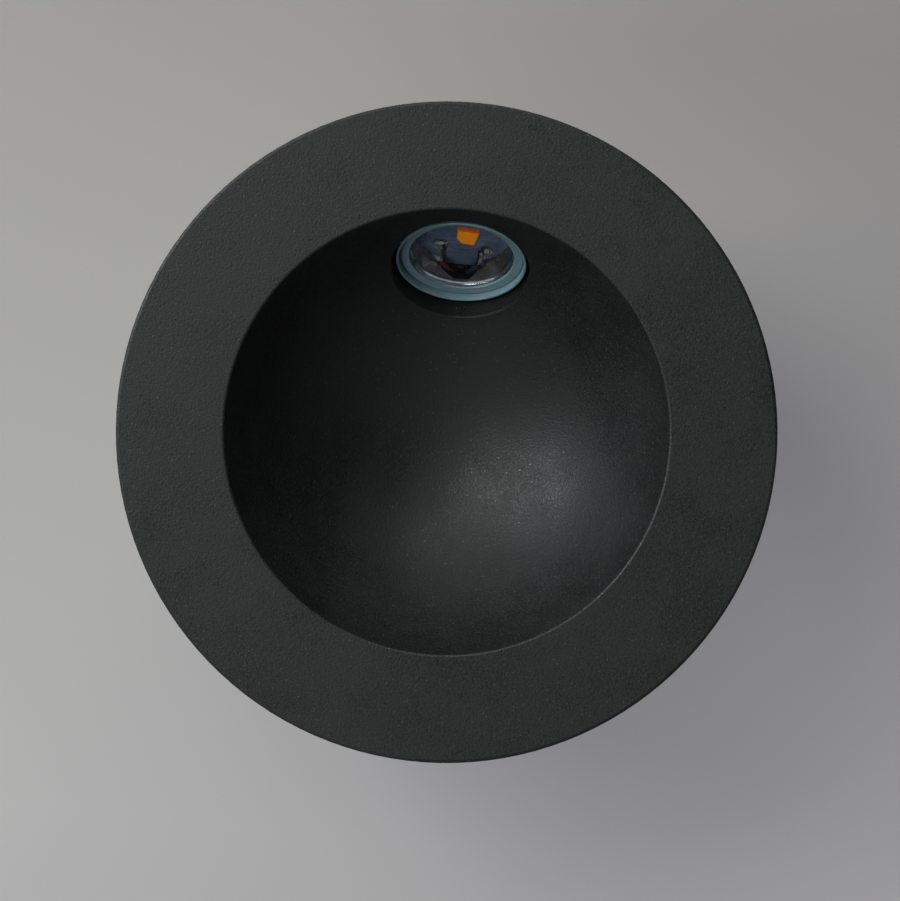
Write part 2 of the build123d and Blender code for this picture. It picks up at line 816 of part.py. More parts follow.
def clip_sleeve():
    """Soft sleeve pushed over the arm's tip."""
    thickness = (arm_inner - sleeve_cover, arm_outer + sleeve_cover)
    reach = (-arm_length - sleeve_tip, sleeve_overlap - arm_length)
    sleeve = slab(thickness, reach, either_way(arm_tip_half_width + sleeve_rim))
    sleeve = fillet(sleeve.edges().filter_by(Axis.Z), sleeve_cover)
    arm_tip = slab((arm_inner, arm_outer), (-arm_length, 0), either_way(arm_tip_half_width))
    return arm_place * (sleeve - arm_tip)


def clip_rivets():
    """Four rivets that hold both brackets to the can."""
    rivets = []
    inner_face, outer_face = pocket_x - can_wall, pocket_x + bracket_base
    inner_end, outer_end = inner_face - 0.6, outer_face + 0.7
    for y in rivet_y:
        rivet = rod((inner_end, y, 0), (outer_end, y, 0), rivet_radius)
        rivet += rod((outer_face, y, 0), (outer_end, y, 0), rivet_radius + 0.9)
        rivet += rod((inner_end, y, 0), (inner_face, y, 0), rivet_radius + 0.8)
        rivets += [to_side(rivet, side) for side in sides]
    return Compound(rivets)


def coil_station(angle, first_angle, low):
    """A point on the coil and its direction there."""
    turn = math.radians(angle)
    climb = coil_pitch / (2 * math.pi)
    height = low + climb * math.radians(angle - first_angle)
    outward = Vector(math.cos(turn), math.sin(turn), 0)
    forward = Vector(-math.sin(turn), math.cos(turn), climb / coil_radius)
    return Vector(hinge_x, hinge_y, height) + outward * coil_radius, forward.normalized()


def biarc(start, heading_in, end, heading_out):
    """Two arcs that leave start and reach end along the given headings."""
    across, both = end - start, heading_in + heading_out
    along = across.dot(both)
    spread = 2 * (1 - heading_in.dot(heading_out))
    reach = (math.sqrt(along**2 + spread * across.dot(across)) - along) / spread
    middle = (start + end + (heading_in - heading_out) * reach) * 0.5
    first = TangentArc(start, middle, tangent=heading_in)
    return [first, TangentArc(middle, end, tangent=first % 1)]


def spring_path():
    """The spring's centre line: arm leg, coil in half turns, bracket leg."""
    first_angle, last_angle = clip_spread, 180 + 360 * coil_turns
    steps = 2 * coil_turns + 1
    low = -coil_pitch * (last_angle - first_angle) / 720
    angles = [first_angle + (last_angle - first_angle) * i / steps for i in range(steps + 1)]
    stations = [coil_station(angle, first_angle, low) for angle in angles]
    start, heading = stations[0]
    edges = [Line(start - heading * arm_leg, start)]
    for (here, heading), (there, next_heading) in zip(stations, stations[1:]):
        edges += biarc(here, heading, there, next_heading)
    end, heading = stations[-1]
    return edges + [Line(end, end + heading * bracket_leg)]


def least_gap(edges, diameter, apart):
    """The least space between turns that are more than a given way apart along the wire."""
    points, travelled, point_step = [], 0.0, 0.15
    for edge in edges:
        count = max(4, int(edge.length / point_step))
        points += [(travelled + edge.length * i / count, edge @ (i / count)) for i in range(count)]
        travelled += edge.length
    nearest = min(
        (p - q).length for i, (s, p) in enumerate(points) for t, q in points[i + 1 :] if t - s > apart
    )
    return nearest - diameter


def clip_spring():
    """Torsion spring on the hinge pin, one unbroken wire with both legs."""
    edges = spring_path()
    path = Wire(edges)
    section = Plane(origin=path @ 0, z_dir=path % 0) * Circle(coil_wire / 2)
    spring = sweep(section, path=path)
    fullness = spring.volume / (section.area * path.length)
    print("clip spring least gap to itself", round(least_gap(edges, coil_wire, 4 * coil_wire), 3))
    print("clip spring volume over section times length", round(fullness, 4))
    return spring


single_pieces = [
    front_casting,
    wall_gasket,
    housing_seal,
    rear_housing,
    housing_screws,
    optic_ring,
    window,
    lens_gasket,
    reflector_cup,
    led_board,
    led_base,
    led_top,
    thermal_pad,
    solder_joints,
    module_cap,
    module_cap_screws,
    lead_grommet,
    lead_plug,
    board_socket,
    driver_board,
    driver_standoffs,
    driver_screws,
    terminal_block,
    terminal_screws,
    smoothing_capacitor,
    inductor,
    bridge_rectifier,
    driver_chip,
    fuse,
    chip_resistors,
    gland_body,
    gland_washer,
    gland_locknut,
    gland_seal,
    gland_nut,
    clip_rivets,
]
clip_pieces = [clip_bracket, clip_pin, clip_arm, clip_sleeve, clip_spring]

pieces = {make.__name__: make() for make in single_pieces}
pieces["red_lead"] = lead("red lead", lead_starts[0], -1)
pieces["black_lead"] = lead("black lead", lead_starts[1], 1)
for make in clip_pieces:
    right_piece = make()
    for side_name, side in (("left", -1), ("right", 1)):
        pieces[f"{side_name}_{make.__name__}"] = to_side(right_piece, side)
for node, shape in pieces.items():
    export_step(shape, f"parts/{node}.step")
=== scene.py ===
import json
import math
import bmesh
import bpy
from mathutils import Matrix, Vector, noise


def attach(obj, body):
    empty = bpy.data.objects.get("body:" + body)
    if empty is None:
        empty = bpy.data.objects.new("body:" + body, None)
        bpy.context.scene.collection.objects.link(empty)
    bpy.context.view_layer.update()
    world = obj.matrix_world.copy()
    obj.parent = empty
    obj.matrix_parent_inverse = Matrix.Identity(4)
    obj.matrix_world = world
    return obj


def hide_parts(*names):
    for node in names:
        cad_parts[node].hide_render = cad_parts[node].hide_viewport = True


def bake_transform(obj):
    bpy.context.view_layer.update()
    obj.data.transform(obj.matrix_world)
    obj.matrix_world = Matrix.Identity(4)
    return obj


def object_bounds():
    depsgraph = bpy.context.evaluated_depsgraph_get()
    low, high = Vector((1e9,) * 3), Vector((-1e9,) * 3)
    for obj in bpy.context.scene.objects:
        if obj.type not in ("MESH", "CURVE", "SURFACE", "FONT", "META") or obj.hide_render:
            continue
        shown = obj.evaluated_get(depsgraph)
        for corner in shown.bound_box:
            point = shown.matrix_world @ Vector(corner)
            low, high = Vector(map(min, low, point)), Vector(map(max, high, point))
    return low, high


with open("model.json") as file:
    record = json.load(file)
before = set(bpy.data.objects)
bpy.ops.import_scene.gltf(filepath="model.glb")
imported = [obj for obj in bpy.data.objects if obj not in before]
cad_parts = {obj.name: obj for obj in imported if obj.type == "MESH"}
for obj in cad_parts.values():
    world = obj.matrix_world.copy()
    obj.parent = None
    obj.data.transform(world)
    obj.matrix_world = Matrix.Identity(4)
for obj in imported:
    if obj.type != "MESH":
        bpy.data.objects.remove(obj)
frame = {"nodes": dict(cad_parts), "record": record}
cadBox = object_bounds()
nodes = frame["nodes"]
mm = 0.001
sides = {"left": -1, "right": 1}
print("frame loaded,", len(nodes), "nodes")

# The slanted port's own frame: X right, Y towards its lower lip, Z running into the lamp.
# The light source's board has its face at Z = board.
portFrame = dict(tilt=math.radians(56.8), y=9.9, z=26.3, board=6.2)
portDeep = Vector((0, math.cos(portFrame["tilt"]), math.sin(portFrame["tilt"])))
portDown = Vector((0, portDeep.z, -portDeep.y))
portOrigin = Vector((0, portFrame["y"], portFrame["z"]))
portPlace = Matrix((
    (1, 0, 0, 0),
    (0, portDown.y, portDeep.y, portOrigin.y),
    (0, portDown.z, portDeep.z, portOrigin.z),
    (0, 0, 0, 1),
))
portPlace = Matrix.Scale(mm, 4) @ portPlace


# Helpers for node trees

def addNode(tree, kind, links=None, **settings):
    node = tree.nodes.new(kind)
    for key, value in settings.items():
        setattr(node, key, value)
    for key, value in (links or {}).items():
        if isinstance(value, bpy.types.NodeSocket):
            tree.links.new(value, node.inputs[key])
        else:
            node.inputs[key].default_value = value
    return node


def maths(tree, operation, a, b=0.0, clamp=False):
    return addNode(tree, "ShaderNodeMath", {0: a, 1: b}, operation=operation, use_clamp=clamp).outputs[0]


def remap(tree, value, low, high, toLow=0.0, toHigh=1.0):
    links = {"Value": value, "From Min": low, "From Max": high, "To Min": toLow, "To Max": toHigh}
    return addNode(tree, "ShaderNodeMapRange", links, clamp=True).outputs["Result"]


def mixColour(tree, factor, first, second):
    mix = addNode(tree, "ShaderNodeMix", data_type="RGBA")
    for socket, value in ((mix.inputs[0], factor), (mix.inputs[6], first), (mix.inputs[7], second)):
        if isinstance(value, bpy.types.NodeSocket):
            tree.links.new(value, socket)
        else:
            socket.default_value = value if isinstance(value, float) else (*value, 1)
    return mix.outputs[2]


def millimetres(tree):
    # Object coordinates, with a millimetre as the unit
    place = addNode(tree, "ShaderNodeTexCoord").outputs["Object"]
    return addNode(tree, "ShaderNodeVectorMath", {0: place, "Scale": 1 / mm}, operation="SCALE").outputs[0]


def noiseAt(tree, place, scale, detail=2.0, roughness=0.5):
    links = {"Vector": place, "Scale": scale, "Detail": detail, "Roughness": roughness}
    return addNode(tree, "ShaderNodeTexNoise", links).outputs["Fac"]


def newGroup(name, inputs, outputs):
    tree = bpy.data.node_groups.new(name, "ShaderNodeTree")
    for label, value in inputs.items():
        kind = "NodeSocketVector" if isinstance(value, tuple) else "NodeSocketFloat"
        tree.interface.new_socket(name=label, in_out="INPUT", socket_type=kind).default_value = value
    for label in outputs:
        tree.interface.new_socket(name=label, in_out="OUTPUT", socket_type="NodeSocketFloat")
    return tree, tree.nodes.new("NodeGroupInput").outputs, tree.nodes.new("NodeGroupOutput").inputs


# Shared surface effects, sizes in millimetres. A noise's own pair of values is its detail and roughness.
noiseSpread = (0.3, 0.7)  # where nearly all of a noise's values lie
roundSamples = 4

sandGrain = dict(fine=(2.0, 0.65), smoothness=0.6, lumpShare=0.5, broadScale=0.11, broad=(3.0, 0.6),
                 fineShare=0.7, broadShare=0.3, fleckRim=(0.16, 0.3))


def makeGrainGroup():
    # Sandy grain of a powder coat, with a few bright flecks
    look = sandGrain
    tree, given, out = newGroup("sandGrain", {"Size": 0.3, "Fleck Size": 0.5, "Fleck Share": 0.03},
                                ["Height", "Shade", "Fleck"])
    place = millimetres(tree)
    scale = maths(tree, "DIVIDE", 1.0, given["Size"])
    fine = noiseAt(tree, place, scale, *look["fine"])
    cells = addNode(tree, "ShaderNodeTexVoronoi", {"Vector": place, "Scale": scale}, feature="SMOOTH_F1")
    cells.inputs["Smoothness"].default_value = look["smoothness"]
    lumps = maths(tree, "SUBTRACT", 1.0, cells.outputs["Distance"])
    tree.links.new(maths(tree, "ADD", maths(tree, "MULTIPLY", lumps, look["lumpShare"]), fine), out["Height"])
    broad = noiseAt(tree, place, look["broadScale"], *look["broad"])
    shade = maths(tree, "ADD", maths(tree, "MULTIPLY", fine, look["fineShare"]),
                  maths(tree, "MULTIPLY", broad, look["broadShare"]))
    tree.links.new(shade, out["Shade"])
    fleckScale = maths(tree, "DIVIDE", 1.0, given["Fleck Size"])
    flecks = addNode(tree, "ShaderNodeTexVoronoi", {"Vector": place, "Scale": fleckScale})
    chosen = addNode(tree, "ShaderNodeSeparateColor", {0: flecks.outputs["Color"]}).outputs[0]
    chosen = maths(tree, "LESS_THAN", chosen, given["Fleck Share"])
    near = remap(tree, flecks.outputs["Distance"], *look["fleckRim"], 1.0, 0.0)
    tree.links.new(maths(tree, "MULTIPLY", chosen, near), out["Fleck"])
    return tree


handlingMarks = dict(smudge=(4.0, 0.62), smudgeRange=(0.36, 0.68), speckScale=4.5, speck=(2.0, 0.7),
                     speckRange=(0.5, 0.78), upRange=(-0.1, 1.0), upShare=(0.15, 1.0))


def makeHandlingGroup():
    # Smudges of hands, and dust that settles most on what faces up
    look = handlingMarks
    tree, given, out = newGroup("handling", {"Size": 9.0}, ["Smudge", "Dust"])
    place = millimetres(tree)
    scale = maths(tree, "DIVIDE", 1.0, given["Size"])
    smudge = noiseAt(tree, place, scale, *look["smudge"])
    tree.links.new(remap(tree, smudge, *look["smudgeRange"]), out["Smudge"])
    specks = noiseAt(tree, place, look["speckScale"], *look["speck"])
    normal = addNode(tree, "ShaderNodeNewGeometry").outputs["Normal"]
    upward = addNode(tree, "ShaderNodeSeparateXYZ", {0: normal})
    upward = remap(tree, upward.outputs["Z"], *look["upRange"], *look["upShare"])
    dust = maths(tree, "MULTIPLY", remap(tree, specks, *look["speckRange"]), upward)
    tree.links.new(dust, out["Dust"])
    return tree


edgeRub = dict(facing=(0.995, 0.86), ragged=(4.0, 0.7), raggedRange=(0.4, 0.6))


def makeEdgeGroup():
    # Rubbed edges: where the rounded normal leaves the flat one
    look = edgeRub
    tree, given, out = newGroup("edgeRub", {"Width": 0.25, "Break": 1.2}, ["Edge"])
    radius = maths(tree, "MULTIPLY", given["Width"], mm)
    rounded = addNode(tree, "ShaderNodeBevel", {"Radius": radius}, samples=roundSamples).outputs[0]
    flat = addNode(tree, "ShaderNodeNewGeometry").outputs["Normal"]
    facing = addNode(tree, "ShaderNodeVectorMath", {0: rounded, 1: flat}, operation="DOT_PRODUCT")
    edge = remap(tree, facing.outputs["Value"], *look["facing"])
    ragged = noiseAt(tree, millimetres(tree), maths(tree, "DIVIDE", 1.0, given["Break"]), *look["ragged"])
    tree.links.new(maths(tree, "MULTIPLY", edge, remap(tree, ragged, *look["raggedRange"])), out["Edge"])
    return tree


lineNoise = (3.0, 0.6)


def makeLinesGroup():
    # Fine drawn, brushed or turned lines; Stretch is the feature's size along each axis
    tree, given, out = newGroup("drawnLines", {"Stretch": (20.0, 0.1, 0.1)}, ["Lines"])
    stretched = {0: millimetres(tree), 1: given["Stretch"]}
    place = addNode(tree, "ShaderNodeVectorMath", stretched, operation="DIVIDE").outputs[0]
    tree.links.new(noiseAt(tree, place, 1.0, *lineNoise), out["Lines"])
    return tree


castSkin = dict(smoothness=0.8, fineScale=2.2, fine=(2.0, 0.6), fineShare=0.5, flowScale=0.13, flowDetail=3.0,
                flowWarp=1.6, pitScale=0.9, pitShare=0.05, pitRim=(0.05, 0.3))


def makeCastGroup():
    # Shot-blasted casting skin with soft flow marks and small pits
    look = castSkin
    tree, given, out = newGroup("castSkin", {"Size": 0.45}, ["Height", "Flow", "Pit"])
    place = millimetres(tree)
    scale = maths(tree, "DIVIDE", 1.0, given["Size"])
    dimples = addNode(tree, "ShaderNodeTexVoronoi", {"Vector": place, "Scale": scale}, feature="SMOOTH_F1")
    dimples.inputs["Smoothness"].default_value = look["smoothness"]
    fine = noiseAt(tree, place, maths(tree, "MULTIPLY", scale, look["fineScale"]), *look["fine"])
    fine = maths(tree, "MULTIPLY", fine, look["fineShare"])
    tree.links.new(maths(tree, "ADD", dimples.outputs["Distance"], fine), out["Height"])
    flow = dict(Scale=look["flowScale"], Detail=look["flowDetail"], Distortion=look["flowWarp"])
    tree.links.new(addNode(tree, "ShaderNodeTexNoise", {"Vector": place, **flow}).outputs["Fac"], out["Flow"])
    pits = addNode(tree, "ShaderNodeTexVoronoi", {"Vector": place, "Scale": look["pitScale"]})
    rare = addNode(tree, "ShaderNodeSeparateColor", {0: pits.outputs["Color"]}).outputs[1]
    rare = maths(tree, "LESS_THAN", rare, look["pitShare"])
    near = remap(tree, pits.outputs["Distance"], *look["pitRim"], 1.0, 0.0)
    tree.links.new(maths(tree, "MULTIPLY", rare, near), out["Pit"])
    return tree


effects = {
    "grain": makeGrainGroup(),
    "handling": makeHandlingGroup(),
    "edge": makeEdgeGroup(),
    "lines": makeLinesGroup(),
    "cast": makeCastGroup(),
}


def effect(tree, name, **values):
    group = addNode(tree, "ShaderNodeGroup", node_tree=effects[name])
    for label, value in values.items():
        group.inputs[label.replace("_", " ")].default_value = value
    return group.outputs


def newMaterial(name):
    material = bpy.data.materials.new(name)
    material.use_nodes = True
    tree = material.node_tree
    return material, tree, tree.nodes["Principled BSDF"]


def bump(tree, shader, height, depth, edgeRound=0.0):
    # Depth and edge rounding in millimetres
    links = {"Height": height, "Distance": depth * mm, "Strength": 1.0}
    if edgeRound:
        rounded = addNode(tree, "ShaderNodeBevel", {"Radius": edgeRound * mm}, samples=roundSamples)
        links["Normal"] = rounded.outputs[0]
    node = addNode(tree, "ShaderNodeBump", links)
    tree.links.new(node.outputs[0], shader.inputs["Normal"])


def link(tree, value, shader, label):
    tree.links.new(value, shader.inputs[label])


# Finishes

powderCoat = dict(
    dark=(0.0040, 0.0046, 0.0045), pale=(0.0108, 0.0118, 0.0115), fleck=(0.040, 0.044, 0.048),
    grain=0.34, depth=0.042, fleckSize=0.5, fleckShare=0.14, rough=(0.48, 0.60),
    grainSpread=(0.35, 0.65), grainRough=(-0.13, 0.13), fleckRough=0.24, specular=0.33, smudge=14.0,
)


def makePowderCoat():
    look = powderCoat
    material, tree, shader = newMaterial("powderCoat")
    flecks = dict(Fleck_Size=look["fleckSize"], Fleck_Share=look["fleckShare"])
    grain = effect(tree, "grain", Size=look["grain"], **flecks)
    handling = effect(tree, "handling", Size=look["smudge"])
    shade = remap(tree, grain["Shade"], *noiseSpread)
    colour = mixColour(tree, shade, look["dark"], look["pale"])
    colour = mixColour(tree, grain["Fleck"], colour, look["fleck"])
    link(tree, colour, shader, "Base Color")
    rough = remap(tree, handling["Smudge"], 0, 1, *look["rough"])
    rough = maths(tree, "ADD", rough, remap(tree, grain["Shade"], *look["grainSpread"], *look["grainRough"]))
    spark = addNode(tree, "ShaderNodeMix", {"Factor": grain["Fleck"], "A": rough, "B": look["fleckRough"]})
    link(tree, spark.outputs["Result"], shader, "Roughness")
    shader.inputs["Specular IOR Level"].default_value = look["specular"]
    bump(tree, shader, grain["Height"], look["depth"])
    return material


castMetal = dict(
    dark=(0.355, 0.365, 0.375), pale=(0.405, 0.415, 0.425), rubbed=(0.56, 0.57, 0.58), rough=(0.68, 0.76),
    dust=(0.34, 0.33, 0.31), dustShare=0.35, rubbedGloss=0.15, skin=0.4, smudge=11.0, rub=0.3, rubBreak=1.5,
    depth=0.016, edgeRound=0.35,
)


def makeCastMetal():
    look = castMetal
    material, tree, shader = newMaterial("castAluminium")
    skin = effect(tree, "cast", Size=look["skin"])
    handling = effect(tree, "handling", Size=look["smudge"])
    edge = effect(tree, "edge", Width=look["rub"], Break=look["rubBreak"])
    colour = mixColour(tree, remap(tree, skin["Flow"], *noiseSpread), look["dark"], look["pale"])
    dust = maths(tree, "MULTIPLY", handling["Dust"], look["dustShare"])
    colour = mixColour(tree, dust, colour, look["dust"])
    colour = mixColour(tree, edge["Edge"], colour, look["rubbed"])
    link(tree, colour, shader, "Base Color")
    rough = remap(tree, handling["Smudge"], 0, 1, *look["rough"])
    gloss = maths(tree, "MULTIPLY", edge["Edge"], look["rubbedGloss"])
    link(tree, maths(tree, "SUBTRACT", rough, gloss), shader, "Roughness")
    shader.inputs["Metallic"].default_value = 1.0
    height = maths(tree, "SUBTRACT", skin["Height"], skin["Pit"])
    bump(tree, shader, height, look["depth"], look["edgeRound"])
    return material


# Plain metals: colours, roughness, drawn lines' size on each axis, bump and edge rounding
metals = {
    "machinedAluminium": dict(dark=(0.48, 0.49, 0.50), pale=(0.66, 0.67, 0.68), rough=(0.26, 0.40),
                              stretch=(14.0, 0.12, 0.12), depth=0.004, edgeRound=0.15),
    "zincSteel": dict(dark=(0.50, 0.51, 0.51), pale=(0.60, 0.61, 0.60), rough=(0.26, 0.40),
                      stretch=(2.5, 2.5, 2.5), depth=0.006, edgeRound=0.12),
    "springSteel": dict(dark=(0.44, 0.44, 0.44), pale=(0.54, 0.54, 0.54), rough=(0.24, 0.34),
                        stretch=(0.08, 9.0, 0.08), depth=0.003, edgeRound=0.10),
    "brass": dict(dark=(0.50, 0.34, 0.12), pale=(0.68, 0.49, 0.20), rough=(0.22, 0.36),
                  stretch=(0.08, 6.0, 0.08), depth=0.003, edgeRound=0.10),
    # Solder's dark colour is partly painted shade: bright solder darkened for beads deep in the port
    "solderMetal": dict(dark=(0.20, 0.20, 0.19), pale=(0.34, 0.34, 0.33), rough=(0.04, 0.11),
                        stretch=(0.6, 0.6, 0.6), depth=0.016, edgeRound=0.0),
}

# Shares of lines and smudges in a metal's tone, and the tones between which its shade and gloss run
metalMarks = dict(lines=0.6, smudges=0.4, smudge=5.0, shades=(0.25, 0.75), glosses=(0.2, 0.8))


def makeMetal(name):
    look = metals[name]
    material, tree, shader = newMaterial(name)
    lines = effect(tree, "lines", Stretch=look["stretch"])
    handling = effect(tree, "handling", Size=metalMarks["smudge"])
    tone = maths(tree, "ADD", maths(tree, "MULTIPLY", lines["Lines"], metalMarks["lines"]),
                 maths(tree, "MULTIPLY", handling["Smudge"], metalMarks["smudges"]))
    colour = mixColour(tree, remap(tree, tone, *metalMarks["shades"]), look["dark"], look["pale"])
    link(tree, colour, shader, "Base Color")
    link(tree, remap(tree, tone, *metalMarks["glosses"], *look["rough"]), shader, "Roughness")
    shader.inputs["Metallic"].default_value = 1.0
    bump(tree, shader, lines["Lines"], look["depth"], look["edgeRound"])
    return material


# Moulded plastics, rubbers and epoxies
moulded = {
    "blackRubber": dict(dark=(0.010, 0.010, 0.011), pale=(0.026, 0.026, 0.027), rough=(0.62, 0.85),
                        size=0.25, depth=0.012, specular=0.35, dust=0.30),
    "greySilicone": dict(dark=(0.22, 0.23, 0.24), pale=(0.34, 0.35, 0.36), rough=(0.55, 0.75),
                         size=0.5, depth=0.010, specular=0.4, dust=0.1),
    "blackNylon": dict(dark=(0.012, 0.013, 0.014), pale=(0.026, 0.027, 0.029), rough=(0.34, 0.55),
                       size=0.18, depth=0.007, specular=0.5, dust=0.22),
    "whiteNylon": dict(dark=(0.60, 0.59, 0.54), pale=(0.74, 0.73, 0.69), rough=(0.38, 0.55),
                       size=0.4, depth=0.005, specular=0.45, dust=0.05),
    # Red insulation's colour is partly painted shade: red darkened for the lead's place deep in the cup's
    # notch
    "redInsulation": dict(dark=(0.065, 0.003, 0.005), pale=(0.105, 0.006, 0.008), rough=(0.30, 0.45),
                          size=0.6, depth=0.006, specular=0.5, dust=0.05),
    "blackInsulation": dict(dark=(0.010, 0.010, 0.011), pale=(0.022, 0.022, 0.023), rough=(0.30, 0.45),
                            size=0.6, depth=0.006, specular=0.5, dust=0.05),
    "greenNylon": dict(dark=(0.020, 0.150, 0.070), pale=(0.045, 0.230, 0.110), rough=(0.38, 0.52),
                       size=0.3, depth=0.005, specular=0.5, dust=0.08),
    "blackEpoxy": dict(dark=(0.014, 0.014, 0.015), pale=(0.030, 0.030, 0.031), rough=(0.45, 0.62),
                       size=0.12, depth=0.006, specular=0.45, dust=0.08),
    "capacitorSleeve": dict(dark=(0.018, 0.024, 0.055), pale=(0.030, 0.040, 0.085), rough=(0.16, 0.28),
                            size=1.2, depth=0.008, specular=0.5, dust=0.05),
    "fuseBody": dict(dark=(0.14, 0.045, 0.015), pale=(0.24, 0.085, 0.030), rough=(0.24, 0.38),
                     size=0.5, depth=0.005, specular=0.5, dust=0.05),
    "chipCeramic": dict(dark=(0.030, 0.030, 0.032), pale=(0.060, 0.060, 0.062), rough=(0.35, 0.55),
                        size=0.3, depth=0.005, specular=0.5, dust=0.05),
    "ledBody": dict(dark=(0.52, 0.49, 0.42), pale=(0.68, 0.65, 0.57), rough=(0.34, 0.5),
                    size=0.25, depth=0.004, specular=0.5, dust=0.0),
}


mouldedMarks = dict(smudge=6.0, dust=(0.30, 0.29, 0.27), edgeRound=0.15)


def makeMoulded(name):
    look = moulded[name]
    material, tree, shader = newMaterial(name)
    grain = effect(tree, "grain", Size=look["size"], Fleck_Share=0.0)
    handling = effect(tree, "handling", Size=mouldedMarks["smudge"])
    colour = mixColour(tree, remap(tree, grain["Shade"], *noiseSpread), look["dark"], look["pale"])
    dust = maths(tree, "MULTIPLY", handling["Dust"], look["dust"])
    link(tree, mixColour(tree, dust, colour, mouldedMarks["dust"]), shader, "Base Color")
    link(tree, remap(tree, handling["Smudge"], 0, 1, *look["rough"]), shader, "Roughness")
    shader.inputs["Specular IOR Level"].default_value = look["specular"]
    bump(tree, shader, grain["Height"], look["depth"], mouldedMarks["edgeRound"])
    return material


satinRing = dict(
    dark=(0.215, 0.325, 0.390), pale=(0.275, 0.405, 0.485), teal=(0.190, 0.345, 0.370), tealShare=0.8,
    rough=(0.30, 0.42), pitch=0.09, smudge=3.0, depth=0.004, edgeRound=0.12,
)


def makeSatinRing():
    # Turned face: fine circles about the port's axis
    look = satinRing
    material, tree, shader = newMaterial("satinRing")
    turn = math.pi / 2 - portFrame["tilt"]
    shift = -(Matrix.Rotation(turn, 3, "X") @ portOrigin)
    place = addNode(tree, "ShaderNodeMapping", {"Vector": millimetres(tree), "Location": shift,
                                                "Rotation": (turn, 0, 0)}).outputs[0]
    flat = addNode(tree, "ShaderNodeVectorMath", {0: place, 1: (1, 1, 0)}, operation="MULTIPLY").outputs[0]
    radius = addNode(tree, "ShaderNodeVectorMath", {0: flat}, operation="LENGTH").outputs["Value"]
    turned = addNode(tree, "ShaderNodeTexNoise", {"W": radius, "Scale": 1 / look["pitch"], "Detail": 2.0},
                     noise_dimensions="1D").outputs["Fac"]
    handling = effect(tree, "handling", Size=look["smudge"])
    colour = mixColour(tree, remap(tree, turned, *noiseSpread), look["dark"], look["pale"])
    teal = maths(tree, "MULTIPLY", handling["Smudge"], look["tealShare"])
    colour = mixColour(tree, teal, colour, look["teal"])
    link(tree, colour, shader, "Base Color")
    link(tree, remap(tree, handling["Smudge"], 0, 1, *look["rough"]), shader, "Roughness")
    bump(tree, shader, turned, look["depth"], look["edgeRound"])
    return material


windowGlass = dict(colour=(0.93, 0.96, 0.98), rough=(0.0, 0.05), refraction=1.46, smudge=2.5, clearBelow=0.3)


def makeWindowGlass():
    # Clear to shadow rays, so that the lamps light the optic behind it
    look = windowGlass
    material, tree, shader = newMaterial("windowGlass")
    handling = effect(tree, "handling", Size=look["smudge"])
    shader.inputs["Base Color"].default_value = (*look["colour"], 1)
    link(tree, remap(tree, handling["Smudge"], look["clearBelow"], 1, *look["rough"]), shader, "Roughness")
    shader.inputs["Transmission Weight"].default_value = 1.0
    shader.inputs["IOR"].default_value = look["refraction"]
    clear = addNode(tree, "ShaderNodeBsdfTransparent", {"Color": (*look["colour"], 1)})
    shadow = addNode(tree, "ShaderNodeLightPath").outputs["Is Shadow Ray"]
    mix = addNode(tree, "ShaderNodeMixShader", {0: shadow, 1: shader.outputs[0], 2: clear.outputs[0]})
    tree.links.new(mix.outputs[0], tree.nodes["Material Output"].inputs["Surface"])
    return material


brightReflector = dict(dark=(0.38, 0.36, 0.33), pale=(0.70, 0.69, 0.67), rough=(0.16, 0.32), smudge=2.2,
                       waves=(2.2, 2.2, 2.2), depth=0.05)


def makeBrightReflector():
    look = brightReflector
    material, tree, shader = newMaterial("brightReflector")
    handling = effect(tree, "handling", Size=look["smudge"])
    waves = effect(tree, "lines", Stretch=look["waves"])
    link(tree, mixColour(tree, handling["Smudge"], look["pale"], look["dark"]), shader, "Base Color")
    link(tree, remap(tree, handling["Smudge"], 0, 1, *look["rough"]), shader, "Roughness")
    shader.inputs["Metallic"].default_value = 1.0
    bump(tree, shader, waves["Lines"], look["depth"])
    return material


boardFace = dict(dark=(0.070, 0.092, 0.140), pale=(0.120, 0.160, 0.240), rough=(0.18, 0.34), smudge=2.0,
                 stretch=(3.0, 0.5, 0.5), depth=0.006, edgeRound=0.1)


def makeBoardFace():
    look = boardFace
    material, tree, shader = newMaterial("boardFace")
    lines = effect(tree, "lines", Stretch=look["stretch"])
    handling = effect(tree, "handling", Size=look["smudge"])
    link(tree, mixColour(tree, handling["Smudge"], look["dark"], look["pale"]), shader, "Base Color")
    link(tree, remap(tree, lines["Lines"], *noiseSpread, *look["rough"]), shader, "Roughness")
    bump(tree, shader, lines["Lines"], look["depth"], look["edgeRound"])
    return material


driverBoardLook = dict(dark=(0.010, 0.060, 0.026), pale=(0.018, 0.105, 0.045), rough=(0.18, 0.45), weave=0.55,
                       smudge=8.0, depth=0.006, edgeRound=0.1)
waveRepeat = math.pi / 10  # a wave texture's pitch at scale 1


def makeDriverBoard():
    look = driverBoardLook
    material, tree, shader = newMaterial("greenLaminate")
    threads = {"Vector": millimetres(tree), "Scale": waveRepeat / look["weave"]}
    waves = [addNode(tree, "ShaderNodeTexWave", threads, bands_direction=way).outputs["Fac"] for way in "XZ"]
    handling = effect(tree, "handling", Size=look["smudge"])
    link(tree, mixColour(tree, handling["Smudge"], look["dark"], look["pale"]), shader, "Base Color")
    link(tree, remap(tree, handling["Dust"], 0, 1, *look["rough"]), shader, "Roughness")
    bump(tree, shader, maths(tree, "MAXIMUM", *waves), look["depth"], look["edgeRound"])
    return material


amberBlock = dict(
    edge=(0.86, 0.140, 0.006), face=(0.80, 0.245, 0.006), facing=(0.3, 0.98), mottle=0.25, tone=(0.1, 1.05),
    rough=(0.22, 0.36), specular=0.2, glow=0.20, soft=0.25, softReach=(0.6, 0.25, 0.08), softDepth=0.6,
    grain=0.35, depth=0.008,
)


